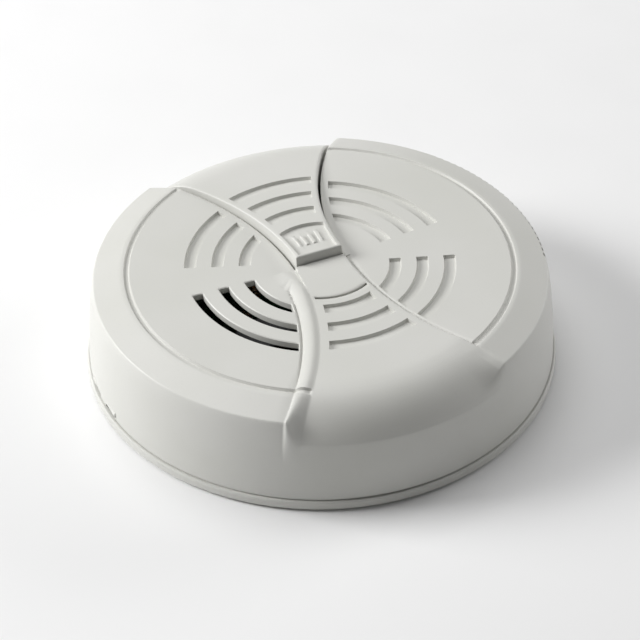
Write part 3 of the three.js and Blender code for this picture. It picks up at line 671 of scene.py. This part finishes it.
def lever_axle(reach, material):
    points = rod_points(TRUNNION_R, 2 * reach)
    faces = ring_faces(points.shape[0], points.shape[1])
    points = points + PIVOT
    add_mesh("lever_axle", points.reshape(-1, 3), faces[:, ::-1], "lever", material)


def lever_post(material):
    """The post under the thumb panel that meets the test switch, standing square to the lever."""
    switch = (corner("test_switch_plunger", False) + corner("test_switch_plunger", True)) / 2
    bottom = corner("test_switch_plunger", True)[2] + 0.3
    points = rod_points(1.6, FACE - 12.3)[..., [2, 1, 0]]
    points = points + np.array([0, 0, (FACE - 12.3) / 2])
    dy, dz = points[..., 1], points[..., 2]
    sine, cosine = np.sin(-WEDGE), np.cos(-WEDGE)
    turned = np.stack([points[..., 0], dy * cosine - dz * sine, dy * sine + dz * cosine], -1)
    turned += np.array([0, switch[1], bottom])
    faces = ring_faces(points.shape[0], points.shape[1])
    add_mesh("lever_post", turned.reshape(-1, 3), faces, "lever", material)


def hinge_pin(material):
    side = np.interp(HINGE_Z, SIDE[::-1, 1], SIDE[::-1, 0])
    points = rod_points(PIN_R, 17.2)[..., [1, 0, 2]] + np.array([-(side - 0.9), 0, HINGE_Z])
    faces = ring_faces(points.shape[0], points.shape[1])
    add_mesh("hinge_pin", points.reshape(-1, 3), faces, "cover", material)


def latch_nib(material):
    """A ramped nib inside the foot of the cover, opposite the hinge."""
    inner = corner("front_cover", True)[0] - 3.9
    outline = [(inner, 4.3), (inner, 5.6), (inner + 0.6, 6.2), (inner + 2.5, 6.2), (inner + 2.8, 4.3)]
    faces = extruded([(0, 0)] * len(outline), 0, 1)[1]
    outline = np.array(outline)
    low = np.column_stack([outline[:, 0], np.full(5, -6.0), outline[:, 1]])
    high = np.column_stack([outline[:, 0], np.full(5, 6.0), outline[:, 1]])
    mesh = bpy.data.meshes.new("latch_nib")
    mesh.from_pydata((np.vstack([low, high]) * MM).tolist(), [], faces)
    work = bmesh.new()
    work.from_mesh(mesh)
    bmesh.ops.recalc_face_normals(work, faces=work.faces)
    work.to_mesh(mesh)
    work.free()
    finish_piece("latch_nib", mesh, "cover", material, 30)


# ---- Shader building ----
class Value:
    """A socket that carries a number. Python's operators on it add Math nodes."""

    def __init__(self, finish, socket):
        self.finish, self.socket = finish, socket

    def math(self, operation, first, second):
        return self.finish.node("ShaderNodeMath", {"operation": operation}, {0: first, 1: second})

    def __add__(self, other):
        return self.math("ADD", self, other)

    def __sub__(self, other):
        return self.math("SUBTRACT", self, other)

    def __rsub__(self, other):
        return self.math("SUBTRACT", other, self)

    def __mul__(self, other):
        return self.math("MULTIPLY", self, other)

    def __gt__(self, other):
        return self.math("GREATER_THAN", self, other)

    def __lt__(self, other):
        return self.math("LESS_THAN", self, other)

    __radd__, __rmul__ = __add__, __mul__


class Finish:
    """A material: a Principled shader whose varying inputs come from nodes made by node()."""

    def __init__(self, name, color, roughness=0.5, metallic=0.0, **constants):
        self.material = bpy.data.materials.new(name)
        self.material.use_nodes = True
        self.tree = self.material.node_tree
        self.shader = self.tree.nodes["Principled BSDF"]
        self.color = (*color, 1.0)
        self.set("Base Color", self.color)
        self.set("Roughness", roughness)
        self.set("Metallic", metallic)
        for key, value in constants.items():
            self.set(key.replace("_", " "), value)
        self.place = self.node("ShaderNodeTexCoord", {}, {}, "Object")

    def join(self, value, socket):
        if isinstance(value, Value):
            self.tree.links.new(value.socket, socket)
        else:
            socket.default_value = value

    def set(self, name, value):
        self.join(value, self.shader.inputs[name])

    def node(self, kind, settings, inputs, output=0):
        """Any node from its type, its settings, and the values or links of its sockets by name or number."""
        made = self.tree.nodes.new(kind)
        stops = settings.pop("stops", None) if settings else None
        for key, value in (settings or {}).items():
            setattr(made, key, value)
        if stops:
            ramp_stops = made.color_ramp.elements
            while len(ramp_stops) < len(stops):
                ramp_stops.new(0.5)
            for stop, (position, shade) in zip(ramp_stops, stops):
                stop.position, stop.color = position, (*shade, 1.0)
        for key, value in inputs.items():
            self.join(value, made.inputs[key])
        return Value(self, made.outputs[output])

    def noise(self, scale, detail=2.0, roughness=0.5, stretch=None):
        vector = self.place
        if stretch:
            vector = self.node("ShaderNodeMapping", {}, {"Vector": self.place, "Scale": stretch})
        return self.node("ShaderNodeTexNoise", {}, {"Vector": vector, "Scale": scale, "Detail": detail,
                                                    "Roughness": roughness}, "Fac")

    def shift(self, value, low, high, new_low=0.0, new_high=1.0):
        sockets = {"Value": value, "From Min": low, "From Max": high, "To Min": new_low, "To Max": new_high}
        return self.node("ShaderNodeMapRange", {"clamp": True}, sockets)

    def mix(self, share, a, b):
        return self.node("ShaderNodeMix", {"data_type": "RGBA"}, {0: share, 6: a, 7: b}, 2)

    def part(self, axis):
        return self.node("ShaderNodeSeparateXYZ", {}, {0: self.place}, axis)

    def bump(self, height, distance, strength=1.0, normal=None):
        inputs = {"Height": height, "Distance": distance, "Strength": strength}
        if normal is not None:
            inputs["Normal"] = normal
        return self.node("ShaderNodeBump", {}, inputs, 0)


def shade(color, factor):
    return (*[min(1.0, c * factor) for c in color], 1.0)


def housing_plastic():
    """Satin moulded plastic: fine spark grain, soft sink marks, faint warm and cool drift, a few scuffs."""
    color = (0.640, 0.640, 0.600)
    finish = Finish("housing_plastic", color, 0.42, Specular_IOR_Level=0.45)
    drift = finish.shift(finish.noise(28, 3), 0.3, 0.7)
    tone = finish.mix(drift, shade(color, 0.965), (0.655, 0.652, 0.622, 1))
    speck = finish.shift(finish.noise(1500, 2, 0.7), 0.62, 0.72, 0.0, 0.22)
    finish.set("Base Color", finish.mix(speck, tone, shade(color, 0.86)))
    scuff = finish.shift(finish.noise(160, 4, 0.7, (1, 6, 1)), 0.6, 0.75, 0.0, 0.08)
    grain = finish.noise(2600, 2, 0.6)
    finish.set("Roughness", finish.shift(grain, 0.3, 0.7, 0.36, 0.47) + scuff)
    low = finish.bump(finish.noise(45, 2), 0.00012, 0.35)
    finish.set("Normal", finish.bump(grain, 0.000018, 0.6, low))
    return finish.material


def board_green():
    """Solder mask over etched tracks, which show as raised lighter lines with tinned pads between."""
    finish = Finish("circuit_board", (0.02, 0.11, 0.035), 0.32, Coat_Weight=0.35, Coat_Roughness=0.15)
    cells = finish.node("ShaderNodeTexBrick", {"offset": 0.37, "squash": 1.6, "squash_frequency": 3},
                        {"Vector": finish.place, "Color1": (0, 0, 0, 1), "Color2": (0, 0, 0, 1),
                         "Mortar": (1, 1, 1, 1),
                         "Scale": 150, "Mortar Size": 0.035, "Mortar Smooth": 0.1, "Brick Width": 1.3,
                         "Row Height": 0.42}, "Color")
    mask = finish.shift(finish.noise(90, 0), 0.44, 0.46)
    tracks = finish.node("ShaderNodeSeparateColor", {}, {0: cells}, 0) * mask
    dots = finish.node("ShaderNodeTexVoronoi", {"feature": "F1", "distance": "EUCLIDEAN"},
                       {"Vector": finish.place, "Scale": 210, "Randomness": 0.85}, "Distance")
    pads = dots < 0.16
    ground = finish.mix(tracks, (0.018, 0.095, 0.03, 1), (0.045, 0.2, 0.06, 1))
    finish.set("Base Color", finish.mix(pads, ground, (0.55, 0.56, 0.55, 1)))
    finish.set("Metallic", pads * 0.9)
    finish.set("Roughness", finish.shift(finish.noise(900, 2), 0.3, 0.7, 0.26, 0.4))
    finish.set("Normal", finish.bump(tracks + pads, 0.00005, 0.6))
    return finish.material


def black_plastic():
    finish = Finish("black_plastic", (0.012, 0.012, 0.013), 0.45)
    grain = finish.noise(2200, 3, 0.6)
    finish.set("Base Color", finish.mix(finish.shift(finish.noise(70, 3), 0.3, 0.7), (0.010, 0.010, 0.011, 1),
                                        (0.022, 0.022, 0.023, 1)))
    finish.set("Roughness", finish.shift(grain, 0.3, 0.7, 0.34, 0.55))
    finish.set("Normal", finish.bump(grain, 0.00003, 0.6))
    return finish.material


def metal(name, color, roughness, stretch, stain):
    """Drawn or rolled metal: fine lines one way, dull blotches of handling."""
    finish = Finish(name, color, roughness, 1.0)
    lines = finish.noise(1400, 3, 0.6, stretch)
    blotch = finish.shift(finish.noise(120, 3), 0.45, 0.7)
    finish.set("Base Color", finish.mix(blotch * 0.5, shade(color, 1.0), shade(color, stain)))
    finish.set("Roughness", finish.shift(lines, 0.3, 0.7, roughness - 0.08, roughness + 0.1) + blotch * 0.08)
    finish.set("Normal", finish.bump(lines, 0.00002, 0.5))
    return finish.material


def fired_ceramic():
    finish = Finish("ceramic", (0.72, 0.70, 0.64), 0.55)
    cloud = finish.shift(finish.noise(260, 4), 0.35, 0.7)
    finish.set("Base Color", finish.mix(cloud, (0.74, 0.72, 0.67, 1), (0.60, 0.58, 0.52, 1)))
    finish.set("Roughness", finish.shift(finish.noise(1800, 2), 0.3, 0.7, 0.45, 0.65))
    finish.set("Normal", finish.bump(finish.noise(2400, 2), 0.00002, 0.5))
    return finish.material


def led_epoxy():
    finish = Finish("led_epoxy", (0.5, 0.02, 0.01), 0.12, Coat_Weight=0.5)
    # Painted light: the red epoxy is coloured darker at its foot and lighter towards its top, standing in for
    # shade below and light from above.
    painted_top_light = finish.shift(finish.part(2), 0.011, 0.0165)
    finish.set("Base Color", finish.mix(painted_top_light, (0.22, 0.006, 0.004, 1), (0.62, 0.03, 0.015, 1)))
    finish.set("Roughness", finish.shift(finish.noise(700, 2), 0.3, 0.7, 0.08, 0.2))
    return finish.material


def copper_winding():
    """Layered enamelled wire: close turns stacked up the height."""
    finish = Finish("coil", (0.32, 0.11, 0.04), 0.3, 0.6)
    turns = finish.node("ShaderNodeMath", {"operation": "PINGPONG"}, {0: finish.part(2) * 1000, 1: 0.18})
    wire = finish.mix(finish.shift(turns, 0, 0.18), (0.12, 0.035, 0.015, 1), (0.45, 0.16, 0.06, 1))
    finish.set("Base Color", wire)
    finish.set("Roughness", finish.shift(finish.noise(500, 2), 0.3, 0.7, 0.22, 0.4))
    finish.set("Normal", finish.bump(turns, 0.0002, 0.7))
    return finish.material


def shrink_sleeve():
    finish = Finish("capacitor_sleeve", (0.02, 0.045, 0.13), 0.3)
    stripe = finish.shift(finish.noise(85, 0), 0.56, 0.57)
    finish.set("Base Color", finish.mix(stripe, (0.016, 0.035, 0.12, 1), (0.30, 0.36, 0.42, 1)))
    wrinkle = finish.noise(500, 3, 0.6, (1, 1, 5))
    finish.set("Roughness", finish.shift(wrinkle, 0.3, 0.7, 0.22, 0.4))
    finish.set("Normal", finish.bump(wrinkle, 0.00006, 0.5))
    return finish.material


def resistor_lacquer():
    """Lacquer with colour rings square to Y."""
    finish = Finish("resistor_body", (0.5, 0.33, 0.16), 0.35)
    rings = finish.node("ShaderNodeMath", {"operation": "PINGPONG"}, {0: finish.part(1) * 1000, 1: 0.9})
    stops = [(0.42, (0.1, 0.02, 0.01)), (0.58, (0.35, 0.12, 0.02))]
    tint = finish.node("ShaderNodeValToRGB", {"stops": stops}, {0: finish.noise(400, 0)}, "Color")
    finish.set("Base Color", finish.mix(rings < 0.28, (0.50, 0.33, 0.17, 1), tint))
    finish.set("Roughness", finish.shift(finish.noise(900, 2), 0.3, 0.7, 0.28, 0.42))
    finish.set("Normal", finish.bump(finish.noise(1200, 2), 0.00003, 0.5))
    return finish.material


def plunger_plastic():
    finish = Finish("switch_plunger", (0.45, 0.3, 0.14), 0.4)
    grain = finish.noise(2400, 2)
    finish.set("Base Color", finish.mix(finish.shift(finish.noise(300, 2), 0.3, 0.7), (0.46, 0.31, 0.15, 1),
                                        (0.40, 0.26, 0.12, 1)))
    finish.set("Roughness", finish.shift(grain, 0.3, 0.7, 0.34, 0.48))
    finish.set("Normal", finish.bump(grain, 0.00002, 0.5))
    return finish.material


def battery_jacket():
    """Printed metal jacket: dark body with a bright copper-toned end band and a thin pale line, no marks."""
    finish = Finish("battery_jacket", (0.03, 0.032, 0.036), 0.3, 0.4, Coat_Weight=0.4, Coat_Roughness=0.1)
    low, high = [v.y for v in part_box("battery_body")]
    along = finish.shift(finish.part(1), low, high)
    band = along > 0.70
    line = (along > 0.665) * (along < 0.685)
    body = finish.mix(band, (0.028, 0.030, 0.034, 1), (0.55, 0.26, 0.10, 1))
    finish.set("Base Color", finish.mix(line, body, (0.62, 0.62, 0.60, 1)))
    finish.set("Roughness", finish.shift(finish.noise(600, 3), 0.3, 0.7, 0.24, 0.4))
    finish.set("Normal", finish.bump(finish.noise(900, 2), 0.00002, 0.5))
    return finish.material


finishes = {
    "housing_plastic": housing_plastic(),
    "circuit_board": board_green(),
    "black_plastic": black_plastic(),
    "steel": metal("steel", (0.62, 0.63, 0.65), 0.28, (1, 1, 12), 0.72),
    "brass": metal("brass", (0.72, 0.5, 0.2), 0.3, (1, 12, 1), 0.7),
    "ceramic": fired_ceramic(),
    "led_epoxy": led_epoxy(),
    "coil": copper_winding(),
    "capacitor_sleeve": shrink_sleeve(),
    "resistor_body": resistor_lacquer(),
    "switch_plunger": plunger_plastic(),
    "battery_jacket": battery_jacket(),
}

# ---- Pieces ----
housing = finishes["housing_plastic"]
front_cover(housing)
test_lever(housing)
reach = lever_lugs(housing)
lever_axle(reach, housing)
lever_post(housing)
hinge_pin(housing)
latch_nib(housing)
eased_copy("base_tray", "base_tray_eased", "base", housing, 0.25)
bodies = frame["record"]["behaviour"]["bodies"]
body_of_node = {node: body for body, nodes in bodies.items() for node in nodes}
slot_of_node = {entry["node"]: entry["material_slot"] for entry in frame["record"]["subparts"]}
for node, slot in slot_of_node.items():
    if node in ("base_tray", "front_cover", "test_lever"):
        frame["nodes"][node].data.materials.clear()
        frame["nodes"][node].data.materials.append(housing)
        continue
    eased_copy(node, node + "_eased", body_of_node[node], finishes[slot], 0.12)
    frame["nodes"][node].data.materials.clear()
    frame["nodes"][node].data.materials.append(finishes[slot])


# ---- Floor, light and camera ----
def stage_floor():
    finish = Finish("floor", (0.86, 0.86, 0.86), 0.7)
    finish.set("Roughness", finish.shift(finish.noise(40, 2), 0.3, 0.7, 0.6, 0.8))
    mesh = bpy.data.meshes.new("floor")
    reach, level = 6, -0.0002
    corners = [(x * reach, y * reach, level) for x, y in ((-1, -1), (1, -1), (1, 1), (-1, 1))]
    mesh.from_pydata(corners, [], [(0, 1, 2, 3)])
    mesh.materials.append(finish.material)
    floor = bpy.data.objects.new("floor", mesh)
    bpy.context.scene.collection.objects.link(floor)


def soft_light(name, azimuth, elevation, distance, size, power):
    """A square soft box aimed at the alarm."""
    lamp = bpy.data.lights.new(name, "AREA")
    lamp.shape, lamp.size, lamp.energy = "SQUARE", size, power
    light = bpy.data.objects.new(name, lamp)
    bpy.context.scene.collection.objects.link(light)
    a, e = azimuth * DEGREE, elevation * DEGREE
    place = Vector((np.cos(a) * np.cos(e), np.sin(a) * np.cos(e), np.sin(e))) * distance
    light.location = place
    light.rotation_euler = place.to_track_quat("Z", "Y").to_euler()


def studio():
    stage_floor()
    world = bpy.data.worlds.new("studio")
    world.use_nodes = True
    world.node_tree.nodes["Background"].inputs["Color"].default_value = (1, 1, 1, 1)
    world.node_tree.nodes["Background"].inputs["Strength"].default_value = 0.13
    bpy.context.scene.world = world
    soft_light("key", 150, 30, 1.2, 0.5, 14)
    soft_light("overhead", 95, 70, 1.5, 1.0, 9)
    soft_light("right_fill", 8, 18, 1.5, 0.7, 8)
    scene = bpy.context.scene
    scene.view_settings.view_transform = "Standard"
    scene.view_settings.look = "None"


def camera():
    """Looks down at the alarm from in front and a little to the left, slightly rolled."""
    turn, tilt, roll = -23 * DEGREE, 40.15 * DEGREE, 0.88 * DEGREE
    right = np.array([1.0, 0, 0])
    up = np.array([0, np.sin(tilt), np.cos(tilt)])
    back = np.array([0, -np.cos(tilt), np.sin(tilt)])
    right, up = np.cos(roll) * right - np.sin(roll) * up, np.sin(roll) * right + np.cos(roll) * up
    spin = np.array([[np.cos(turn), -np.sin(turn), 0], [np.sin(turn), np.cos(turn), 0], [0, 0, 1]])
    axes = spin @ np.stack([right, up, back], 1)
    place = axes @ np.array([-0.383, 7.438, 660.0]) * MM
    lens = bpy.data.cameras.new("camera")
    lens.lens, lens.sensor_width = 133.07, 36
    eye = bpy.data.objects.new("camera", lens)
    bpy.context.scene.collection.objects.link(eye)
    matrix = Matrix(axes.tolist()).to_4x4()
    matrix.translation = Vector(place)
    eye.matrix_world = matrix
    bpy.context.scene.camera = eye


studio()
camera()
